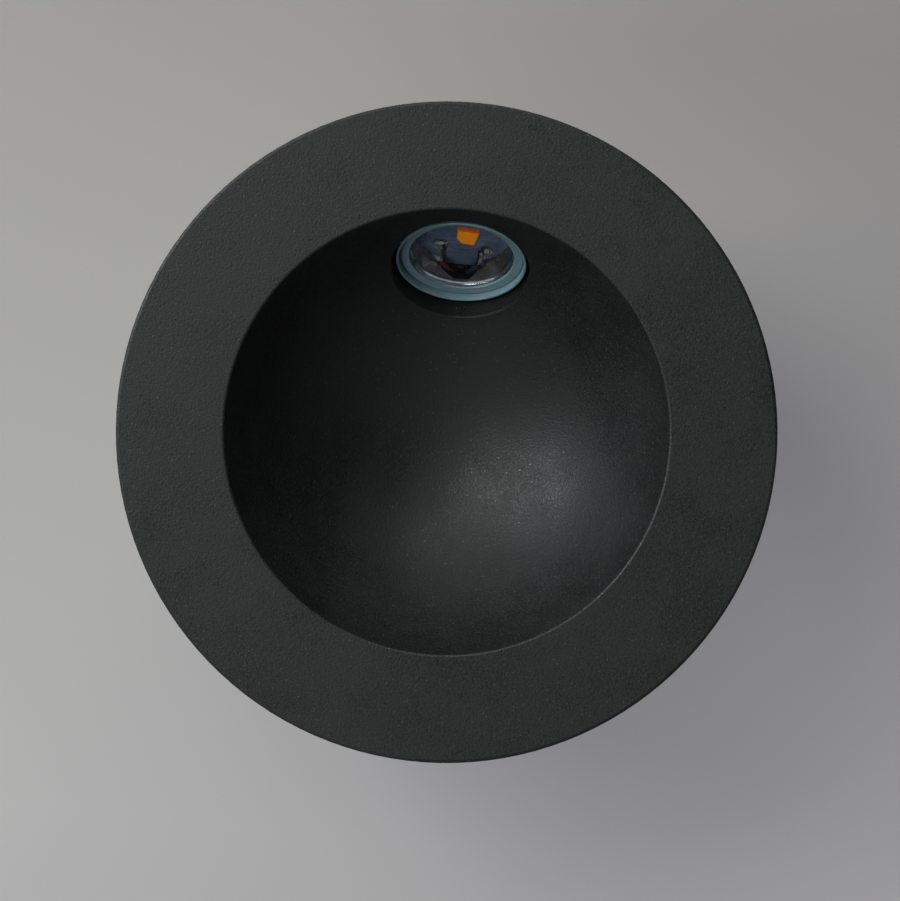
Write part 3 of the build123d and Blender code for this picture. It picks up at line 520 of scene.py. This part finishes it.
def makeAmberBlock():
    # Phosphor silicone, golden on the face and redder down its sides.
    # Its emission is painted light: a glow in its own colour, for the daylight that its phosphor turns
    # orange.
    look = amberBlock
    material, tree, shader = newMaterial("amberSilicone")
    normal = addNode(tree, "ShaderNodeNewGeometry").outputs["Normal"]
    facing = addNode(tree, "ShaderNodeVectorMath", {0: normal, 1: -portDeep}, operation="DOT_PRODUCT")
    grain = effect(tree, "grain", Size=look["grain"], Fleck_Share=0.0)
    tone = maths(tree, "ADD", remap(tree, facing.outputs["Value"], *look["facing"]),
                 maths(tree, "MULTIPLY", grain["Shade"], look["mottle"]))
    colour = mixColour(tree, remap(tree, tone, *look["tone"]), look["edge"], look["face"])
    link(tree, colour, shader, "Base Color")
    link(tree, colour, shader, "Emission Color")
    # Painted light: a steady glow in the block's own colour, though it is no lamp
    shader.inputs["Emission Strength"].default_value = look["glow"]
    link(tree, remap(tree, grain["Shade"], *noiseSpread, *look["rough"]), shader, "Roughness")
    shader.inputs["Specular IOR Level"].default_value = look["specular"]
    shader.inputs["Subsurface Weight"].default_value = look["soft"]
    shader.inputs["Subsurface Radius"].default_value = look["softReach"]
    shader.inputs["Subsurface Scale"].default_value = look["softDepth"] * mm
    bump(tree, shader, grain["Height"], look["depth"])
    return material


finishes = {
    "powder_coat": makePowderCoat(),
    "cast_aluminium": makeCastMetal(),
    "machined_aluminium": makeMetal("machinedAluminium"),
    "zinc_steel": makeMetal("zincSteel"),
    "spring_steel": makeMetal("springSteel"),
    "brass": makeMetal("brass"),
    "solder": makeMetal("solderMetal"),
    "black_rubber": makeMoulded("blackRubber"),
    "grey_silicone": makeMoulded("greySilicone"),
    "black_nylon": makeMoulded("blackNylon"),
    "white_nylon": makeMoulded("whiteNylon"),
    "red_insulation": makeMoulded("redInsulation"),
    "black_insulation": makeMoulded("blackInsulation"),
    "green_nylon": makeMoulded("greenNylon"),
    "black_epoxy": makeMoulded("blackEpoxy"),
    "capacitor_sleeve": makeMoulded("capacitorSleeve"),
    "fuse_body": makeMoulded("fuseBody"),
    "chip_ceramic": makeMoulded("chipCeramic"),
    "led_body": makeMoulded("ledBody"),
    "satin_ring": makeSatinRing(),
    "clear_window": makeWindowGlass(),
    "bright_reflector": makeBrightReflector(),
    "board_face": makeBoardFace(),
    "green_laminate": makeDriverBoard(),
    "amber_silicone": makeAmberBlock(),
}
for part in frame["record"]["subparts"]:
    node = nodes[part["node"]]
    node.data.materials.clear()
    node.data.materials.append(finishes[part["material_slot"]])
print("finishes made,", len(finishes))


# Helpers for new pieces

def newObject(name, data):
    item = bpy.data.objects.new(name, data)
    bpy.context.scene.collection.objects.link(item)
    return item


def finishPiece(piece, finish, body="root", replaced=()):
    piece.data.materials.append(finishes[finish])
    if body:
        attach(piece, body)
    if replaced:
        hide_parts(*replaced)
    return piece


def pieceFrom(bm, name, finish, body="root", replaced=()):
    bmesh.ops.recalc_face_normals(bm, faces=bm.faces)
    mesh = bpy.data.meshes.new(name)
    bm.to_mesh(mesh)
    bm.free()
    mesh.shade_smooth()
    piece = newObject(name, mesh)
    piece.modifiers.new("flatFaces", "WEIGHTED_NORMAL")
    return finishPiece(piece, finish, body, replaced)


def bevelEdges(bm, edges, width, segments=3):
    bmesh.ops.bevel(bm, geom=edges, offset=width, offset_type="OFFSET", affect="EDGES", segments=segments,
                    profile=0.5, material=-1)


def uprightEdges(bm):
    # Edges of a box that run along Z
    return [e for e in bm.edges if (e.verts[0].co - e.verts[1].co).xy.length < 1e-6]


def evaluatedMesh(item, name):
    # The item's shape with its modifiers applied, as a mesh of its own
    depsgraph = bpy.context.evaluated_depsgraph_get()
    mesh = bpy.data.meshes.new_from_object(item.evaluated_get(depsgraph), depsgraph=depsgraph)
    mesh.name = name
    bpy.data.objects.remove(item)
    return mesh


def fused(bm, voxel, smoothing=4):
    # Melts overlapping lumps, in millimetres, into one closed skin
    mesh = bpy.data.meshes.new("lumps")
    bm.to_mesh(mesh)
    bm.free()
    item = newObject("lumps", mesh)
    remesh = item.modifiers.new("melt", "REMESH")
    remesh.mode = "VOXEL"
    remesh.voxel_size = voxel
    smooth = item.modifiers.new("smooth", "SMOOTH")
    smooth.iterations = smoothing
    melted = bmesh.new()
    melted.from_mesh(evaluatedMesh(item, "lumps"))
    return melted


tubeLook = dict(order=3, resolution=10)


def tube(name, splines, radius, roundness=4, kind="NURBS"):
    # Wire or lead along each list of points, in metres
    curve = bpy.data.curves.new(name, "CURVE")
    curve.dimensions = "3D"
    curve.bevel_depth = radius
    curve.bevel_resolution = roundness
    curve.use_fill_caps = True
    for points in splines:
        spline = curve.splines.new(kind)
        spline.points.add(len(points) - 1)
        for knot, point in zip(spline.points, points):
            knot.co = (*point, 1)
        if kind == "NURBS":
            spline.order_u = tubeLook["order"]
            spline.use_endpoint_u = True
            spline.resolution_u = tubeLook["resolution"]
    return newObject(name, curve)


# Light source: phosphor block with a cut corner and a slightly domed face, in the port's frame
ledBlock = dict(
    centre=(0.60, 0.02), height=0.85, half=(1.60, 1.62), turn=math.radians(7), taper=0.10,
    cutCorner=1.0, cornerRound=0.20, faceRound=0.16, drawnIn=0.97, dome=0.05, domeSteps=3, domeShare=0.72,
)


def makeLedBlock():
    look = ledBlock
    bm = bmesh.new()
    bmesh.ops.create_cube(bm, size=1.0)
    bmesh.ops.scale(bm, vec=(2 * look["half"][0], 2 * look["half"][1], look["height"]), verts=bm.verts)
    cutEdge = [e for e in uprightEdges(bm) if e.verts[0].co.x < 0 < e.verts[0].co.y]
    bevelEdges(bm, cutEdge, look["cutCorner"], 1)
    bevelEdges(bm, uprightEdges(bm), look["cornerRound"], 3)
    face = min(bm.faces, key=lambda f: f.calc_center_median().z)
    bmesh.ops.scale(bm, vec=(look["drawnIn"], look["drawnIn"], 1), verts=face.verts)
    bevelEdges(bm, list(face.edges), look["faceRound"], 4)
    face = min(bm.faces, key=lambda f: f.calc_center_median().z)
    for step in range(look["domeSteps"]):
        face = bmesh.ops.extrude_discrete_faces(bm, faces=[face])["faces"][0]
        bmesh.ops.scale(bm, vec=(look["domeShare"], look["domeShare"], 1), verts=face.verts)
        bmesh.ops.translate(bm, vec=(0, 0, -look["dome"] / (step + 1)), verts=face.verts)
    for vert in bm.verts:
        vert.co.x *= 1 - look["taper"] * vert.co.y / look["half"][1]
    lift = Matrix.Translation((*look["centre"], portFrame["board"] - look["height"] / 2))
    bmesh.ops.transform(bm, matrix=portPlace @ lift @ Matrix.Rotation(look["turn"], 4, "Z"), verts=bm.verts)
    pieceFrom(bm, "led_block", "amber_silicone", replaced=("led_top", "led_base"))


# Solder: lumps as (x, y, height above the board, half sizes), melted together, and bare wire to each lead
solderLook = dict(voxel=0.1, lumpiness=0.16, lumpSize=0.9, wire=0.30, wireSides=16, seed=3.7)
solderLumps = {
    "left": [(-3.45, 2.9, 0.0, (1.10, 1.15, 0.80)), (-3.30, 3.9, 0.05, (0.80, 0.85, 0.62)),
             (-3.15, 4.8, 0.35, (0.42, 0.55, 0.42))],
    "right": [(3.85, 3.7, 0.0, (0.95, 0.90, 0.85)), (3.30, 4.7, 0.1, (0.85, 0.80, 0.72)),
              (2.95, 5.5, 0.45, (0.50, 0.55, 0.48))],
}
solderWires = {
    "left": [(-3.30, 4.2, 5.75), (-3.10, 5.3, 5.45), (-2.95, 6.45, 5.20)],
    "right": [(3.20, 4.8, 5.70), (2.90, 5.6, 5.42), (2.55, 6.40, 5.20)],
}


def makeSolderJoints():
    look = solderLook
    bm = bmesh.new()
    for side, lumps in solderLumps.items():
        for x, y, rise, half in lumps:
            place = Matrix.Translation((x, y, portFrame["board"] - rise)) @ Matrix.Diagonal((*half, 1))
            bmesh.ops.create_icosphere(bm, subdivisions=3, radius=1.0, matrix=place)
        ends = [Vector(point) for point in solderWires[side]]
        for start, end in zip(ends, ends[1:]):
            run = end - start
            place = Matrix.Translation((start + end) / 2) @ run.to_track_quat("Z", "Y").to_matrix().to_4x4()
            bmesh.ops.create_cone(bm, cap_ends=True, segments=look["wireSides"], radius1=look["wire"],
                                  radius2=look["wire"], depth=run.length + look["wire"] / 2, matrix=place)
    bm = fused(bm, look["voxel"])
    seed = Vector((look["seed"], 0, 0))
    for vert in bm.verts:
        vert.co += vert.normal * look["lumpiness"] * noise.noise(vert.co / look["lumpSize"] + seed)
    everything = list(bm.verts) + list(bm.edges) + list(bm.faces)
    cut = bmesh.ops.bisect_plane(bm, geom=everything, plane_co=(0, 0, portFrame["board"]), plane_no=(0, 0, 1),
                                 clear_outer=True)
    rims = [item for item in cut["geom_cut"] if isinstance(item, bmesh.types.BMEdge)]
    bmesh.ops.edgeloop_fill(bm, edges=rims)
    bmesh.ops.transform(bm, matrix=portPlace, verts=bm.verts)
    pieceFrom(bm, "solder_beads", "solder", replaced=("solder_joints",))


# Leads: the first stretch is in the port's frame, the second in the lamp's
leadLook = dict(
    radius=0.45, tail=[(1.0, 26.4, 32.6), (1.15, 29.2, 31.2), (1.25, 31.6, 28.5), (1.25, 34.9, 28.5)],
)
leadStarts = {
    "red": [(-3.0, 6.3, 5.2), (-2.15, 7.6, 5.0), (-1.3, 8.9, 5.2), (-0.9, 9.7, 7.0), (-0.9, 9.7, 11.0)],
    "black": [(2.6, 6.3, 5.2), (1.7, 7.6, 5.0), (1.1, 8.9, 5.2), (0.9, 9.7, 7.0), (0.9, 9.7, 11.0)],
}


def makeLeads():
    for colour, side in (("red", -1), ("black", 1)):
        route = [portPlace @ Vector(point) for point in leadStarts[colour]]
        route += [Vector((side * x, y, z)) * mm for x, y, z in leadLook["tail"]]
        wire = tube(colour + "_wire", [route], leadLook["radius"] * mm)
        finishPiece(wire, colour + "_insulation", replaced=(colour + "_lead",))


# Board details: solder pads and raised tracks under the board's lacquer
boardDetail = dict(trackWidth=0.42, trackHeight=0.07, trackSteps=24, padHeight=0.05, padCorner=0.5, edge=0.02,
                   sharpAngle=1.0)
boardTracks = {
    "right_track": dict(radius=5.9, start=-62, end=30),
    "left_track": dict(radius=5.6, start=150, end=236),
}
boardPads = {
    "left_pad": dict(centre=(-3.4, 3.1), half=(1.15, 1.30), turn=8),
    "right_pad": dict(centre=(3.6, 4.0), half=(1.05, 1.25), turn=-30),
}


def makeTrack(name, look):
    width, height = boardDetail["trackWidth"], boardDetail["trackHeight"]
    bm = bmesh.new()
    bmesh.ops.create_grid(bm, x_segments=1, y_segments=1, size=0.5)
    bmesh.ops.delete(bm, geom=bm.faces, context="FACES_ONLY")
    bmesh.ops.scale(bm, vec=(width, height, 1), verts=bm.verts)
    upright = Matrix.Translation((look["radius"], 0, -height / 2)) @ Matrix.Rotation(math.pi / 2, 4, "X")
    start = Matrix.Rotation(math.radians(look["start"]), 4, "Z")
    bmesh.ops.transform(bm, matrix=start @ upright, verts=bm.verts)
    bmesh.ops.spin(bm, geom=list(bm.verts) + list(bm.edges), cent=(0, 0, 0), axis=(0, 0, 1),
                   steps=boardDetail["trackSteps"], angle=math.radians(look["end"] - look["start"]))
    bmesh.ops.holes_fill(bm, edges=bm.edges, sides=4)
    sharp = [e for e in bm.edges if e.calc_face_angle(0) > boardDetail["sharpAngle"]]
    bevelEdges(bm, sharp, boardDetail["edge"], 2)
    onBoard = Matrix.Translation((0, 0, portFrame["board"]))
    bmesh.ops.transform(bm, matrix=portPlace @ onBoard, verts=bm.verts)
    pieceFrom(bm, name, "board_face")


def makePad(name, look):
    bm = bmesh.new()
    bmesh.ops.create_cube(bm, size=1.0)
    half = look["half"]
    bmesh.ops.scale(bm, vec=(2 * half[0], 2 * half[1], boardDetail["padHeight"]), verts=bm.verts)
    bevelEdges(bm, uprightEdges(bm), boardDetail["padCorner"], 5)
    face = min(bm.faces, key=lambda f: f.calc_center_median().z)
    bevelEdges(bm, list(face.edges), boardDetail["edge"], 2)
    lift = Matrix.Translation((*look["centre"], portFrame["board"] - boardDetail["padHeight"] / 2))
    turned = Matrix.Rotation(math.radians(look["turn"]), 4, "Z")
    bmesh.ops.transform(bm, matrix=portPlace @ lift @ turned, verts=bm.verts)
    pieceFrom(bm, name, "solder")


# Clip springs, about the hinge: wire, coil and legs in millimetres, turned round from the arm to the bracket
clipHinge = Vector((39.7, 38.0, 0.0))
clipSpread = math.radians(15)
springLook = dict(wire=0.3, wireRoundness=3, coil=1.5, pitch=1.05, turns=6, armLeg=9.0, bracketLeg=7.0,
                  stepAngle=math.radians(15), reach=3.4)


def springPoints(side):
    look = springLook
    firstAngle, lastAngle = clipSpread, math.pi * (1 + 2 * look["turns"])
    climb = look["pitch"] / (2 * math.pi)
    low = -climb * (lastAngle - firstAngle) / 2
    steps = round((lastAngle - firstAngle) / look["stepAngle"])
    points, headings = [], []
    for step in range(steps + 1):
        turned = (lastAngle - firstAngle) * step / steps
        angle = firstAngle + turned
        outwards = Vector((math.cos(angle), math.sin(angle), 0))
        points.append(outwards * look["coil"] + Vector((0, 0, low + climb * turned)))
        headings.append(Vector((-outwards.y, outwards.x, climb / look["coil"])).normalized())
    points.insert(0, points[0] - headings[0] * look["armLeg"])
    points.append(points[-1] + headings[-1] * look["bracketLeg"])
    return [(point + clipHinge) * mm * Vector((side, 1, 1)) for point in points]


def makeClipSprings():
    for sideName, side in sides.items():
        name = sideName + "_spring_wire"
        wire = tube(name, [springPoints(side)], springLook["wire"] * mm, springLook["wireRoundness"], "POLY")
        piece = newObject(name, evaluatedMesh(wire, name))
        piece.data.shade_smooth()
        piece.data.materials.clear()
        finishPiece(piece, "spring_steel", body=None, replaced=(sideName + "_clip_spring",))
        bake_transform(piece)


# Rubber sleeves on the clips' tips, in the arm's own frame: X outwards, -Y towards the tip
sleeveLook = dict(x=(1.4, 3.2), y=(-26.5, -20.5), half=5.1, wall=0.5, depth=4.4, edge=0.4, ribs=5,
                  ribShare=0.84, groove=0.22, grooveSlope=0.05)


def sleeveShape():
    look = sleeveLook
    bm = bmesh.new()
    bmesh.ops.create_cube(bm, size=1.0)
    length = look["y"][1] - look["y"][0]
    bmesh.ops.scale(bm, vec=(look["x"][1] - look["x"][0], length, 2 * look["half"]), verts=bm.verts)
    rim = max(bm.faces, key=lambda f: f.calc_center_median().y).edges
    bevelEdges(bm, [e for e in bm.edges if e not in set(rim)], look["edge"], 3)
    mouth = max(bm.faces, key=lambda f: f.calc_center_median().y)
    bmesh.ops.inset_region(bm, faces=[mouth], thickness=look["wall"])
    inner = bmesh.ops.extrude_discrete_faces(bm, faces=[mouth])["faces"][0]
    bmesh.ops.translate(bm, vec=(0, -look["depth"], 0), verts=inner.verts)
    strips = [max(bm.faces, key=lambda f: f.calc_center_median().x)]
    cuts = 2 * look["ribs"]
    for index in range(cuts):
        around = {item for f in strips for item in (f, *f.edges, *f.verts)}
        cutY = length * ((index + 0.5) / cuts - 0.5) * look["ribShare"]
        bmesh.ops.bisect_plane(bm, geom=list(around), plane_co=(0, cutY, 0), plane_no=(0, 1, 0))
        outer = max(f.calc_center_median().x for f in bm.faces)
        strips = [f for f in bm.faces if outer - f.calc_center_median().x < 1e-4]
    strips.sort(key=lambda f: f.calc_center_median().y)
    bmesh.ops.inset_individual(bm, faces=strips[1:-1:2], thickness=look["grooveSlope"], depth=-look["groove"])
    return bm


def makeClipSleeves():
    look = sleeveLook
    middle = Vector((sum(look["x"]) / 2, sum(look["y"]) / 2, 0))
    onArm = Matrix.Translation(clipHinge) @ Matrix.Rotation(clipSpread, 4, "Z") @ Matrix.Translation(middle)
    for sideName, side in sides.items():
        bm = sleeveShape()
        bmesh.ops.transform(bm, matrix=Matrix.Diagonal((side * mm, mm, mm, 1)) @ onArm, verts=bm.verts)
        replaced = (sideName + "_clip_sleeve",)
        pieceFrom(bm, sideName + "_tip_sleeve", "black_rubber", sideName + "_clip", replaced)


makeLedBlock()
makeSolderJoints()
makeLeads()
for name, look in boardTracks.items():
    makeTrack(name, look)
for name, look in boardPads.items():
    makePad(name, look)
makeClipSprings()
makeClipSleeves()
print("new pieces made")


# Stage: a wall behind the lamp and a floor below it. They take shadows and show in reflections and through
# the window, and light no matt surface.
stageLook = dict(
    wallY=0.064, floorZ=-0.13, size=6.0, glowSpan=0.07, mottleScale=1.2, mottle=(0.97, 1.03), rough=0.9,
    specular=0.1,
    # The wall's glow is painted light: brighter towards the bottom and cooler than the wall, lifting and
    # tinting its shadow
    wall=dict(colour=(0.215, 0.208, 0.184), glowLow=(0.212, 0.210, 0.232), glowHigh=(0.064, 0.058, 0.075)),
    floor=dict(colour=(0.10, 0.10, 0.10), glowLow=(0.32, 0.32, 0.32), glowHigh=(0.32, 0.32, 0.32)),
)


def stagePlane(name, place, look):
    bm = bmesh.new()
    bmesh.ops.create_grid(bm, x_segments=1, y_segments=1, size=stageLook["size"] / 2)
    bmesh.ops.transform(bm, matrix=place, verts=bm.verts)
    mesh = bpy.data.meshes.new(name)
    bm.to_mesh(mesh)
    bm.free()
    plane = newObject(name, mesh)
    material, tree, shader = newMaterial(name)
    spot = addNode(tree, "ShaderNodeTexCoord").outputs["Object"]
    mottle = remap(tree, noiseAt(tree, spot, stageLook["mottleScale"]), *noiseSpread, *stageLook["mottle"])
    colour = addNode(tree, "ShaderNodeVectorMath", {0: look["colour"], "Scale": mottle}, operation="SCALE")
    link(tree, colour.outputs[0], shader, "Base Color")
    # Glow runs from glowLow at the bottom to glowHigh at the top; on the wall this gradient is painted light
    up = addNode(tree, "ShaderNodeSeparateXYZ", {0: spot}).outputs["Z"]
    up = remap(tree, up, -stageLook["glowSpan"], stageLook["glowSpan"])
    link(tree, mixColour(tree, up, look["glowLow"], look["glowHigh"]), shader, "Emission Color")
    shader.inputs["Emission Strength"].default_value = 1.0
    shader.inputs["Roughness"].default_value = stageLook["rough"]
    shader.inputs["Specular IOR Level"].default_value = stageLook["specular"]
    clear = addNode(tree, "ShaderNodeBsdfTransparent")
    ray = addNode(tree, "ShaderNodeLightPath").outputs
    seen = maths(tree, "MAXIMUM", ray["Is Camera Ray"], ray["Is Glossy Ray"])
    seen = maths(tree, "MAXIMUM", seen, ray["Is Transmission Ray"])
    behind = addNode(tree, "ShaderNodeNewGeometry").outputs["Backfacing"]
    shown = maths(tree, "MULTIPLY", seen, maths(tree, "SUBTRACT", 1.0, behind))
    mix = addNode(tree, "ShaderNodeMixShader", {0: shown, 1: clear.outputs[0], 2: shader.outputs[0]})
    tree.links.new(mix.outputs[0], tree.nodes["Material Output"].inputs["Surface"])
    mesh.materials.append(material)


facingFront = Matrix.Rotation(math.pi / 2, 4, "X")
stagePlane("backWall", Matrix.Translation((0, stageLook["wallY"], 0)) @ facingFront, stageLook["wall"])
stagePlane("floor", Matrix.Translation((0, 0, stageLook["floorZ"])), stageLook["floor"])

# Light: the directions point from the step light to each lamp of the stage
lights = {
    "leftLight": dict(towards=(-0.78, -0.50, 0.38), away=0.56, size=0.4, power=3.3, colour=(0.91, 0.97, 1.0)),
    "frontLight": dict(towards=(-0.40, -0.84, 0.36), away=0.9, size=0.4, power=2.7, colour=(1.0, 1.0, 0.98)),
    "topLight": dict(towards=(-0.05, -0.50, 0.86), away=0.7, size=0.5, power=2.1, colour=(0.98, 1.0, 1.0)),
    "lowLight": dict(towards=(-0.50, -0.75, -0.43), away=0.9, size=0.5, power=1.4, colour=(0.96, 0.98, 1.0)),
    "rearLight": dict(towards=(-0.35, 0.80, 0.50), away=1.3, size=1.0, power=9.0, colour=(1.0, 1.0, 1.0)),
}


def makeLights():
    for name, look in lights.items():
        lamp = bpy.data.lights.new(name, "AREA")
        lamp.shape = "DISK"
        lamp.size = look["size"]
        lamp.energy = look["power"]
        lamp.color = look["colour"]
        item = newObject(name, lamp)
        towards = Vector(look["towards"]).normalized()
        item.location = towards * look["away"]
        item.rotation_euler = towards.to_track_quat("Z", "Y").to_euler()


worldLook = dict(colour=(0.95, 0.97, 1.0), light=0.03, shown=0.85)


def makeWorld():
    world = bpy.data.worlds.new("studio")
    bpy.context.scene.world = world
    world.use_nodes = True
    tree = world.node_tree
    seen = addNode(tree, "ShaderNodeLightPath").outputs["Is Camera Ray"]
    background = tree.nodes["Background"]
    background.inputs["Color"].default_value = (*worldLook["colour"], 1)
    strength = remap(tree, seen, 0, 1, worldLook["light"], worldLook["shown"])
    tree.links.new(strength, background.inputs["Strength"])


makeLights()
makeWorld()

# Camera, head-on and slightly rolled as in the photograph. Pixels are in its 900 by 901 frame.
picture = dict(width=900, height=901, flangeX=446.7, flangeY=432.2, flangeRadius=331.3)
cameraLook = dict(distance=0.5, roll=math.radians(4.85), sensor=36.0, near=0.01, far=20)


def makeCamera():
    pixel = cadBox[1].x / picture["flangeRadius"]  # in metres, at the flange
    halfSlope = picture["width"] / 2 * pixel / cameraLook["distance"]
    data = bpy.data.cameras.new("camera")
    data.sensor_fit = "HORIZONTAL"
    data.sensor_width = cameraLook["sensor"]
    data.lens = cameraLook["sensor"] / 2 / halfSlope
    data.shift_x = (picture["width"] / 2 - picture["flangeX"]) / picture["width"]
    data.shift_y = (picture["flangeY"] - picture["height"] / 2) / picture["width"]
    data.clip_start = cameraLook["near"]
    data.clip_end = cameraLook["far"]
    camera = newObject("camera", data)
    camera.location = (0, cadBox[0].y - cameraLook["distance"], 0)
    roll = cameraLook["roll"]
    right = Vector((math.cos(roll), 0, math.sin(roll)))
    up = Vector((-math.sin(roll), 0, math.cos(roll)))
    camera.rotation_euler = Matrix((right, up, Vector((0, -1, 0)))).transposed().to_euler()
    bpy.context.scene.camera = camera


makeCamera()
bpy.context.scene.view_settings.view_transform = "Standard"
print("stage, lights and camera set")
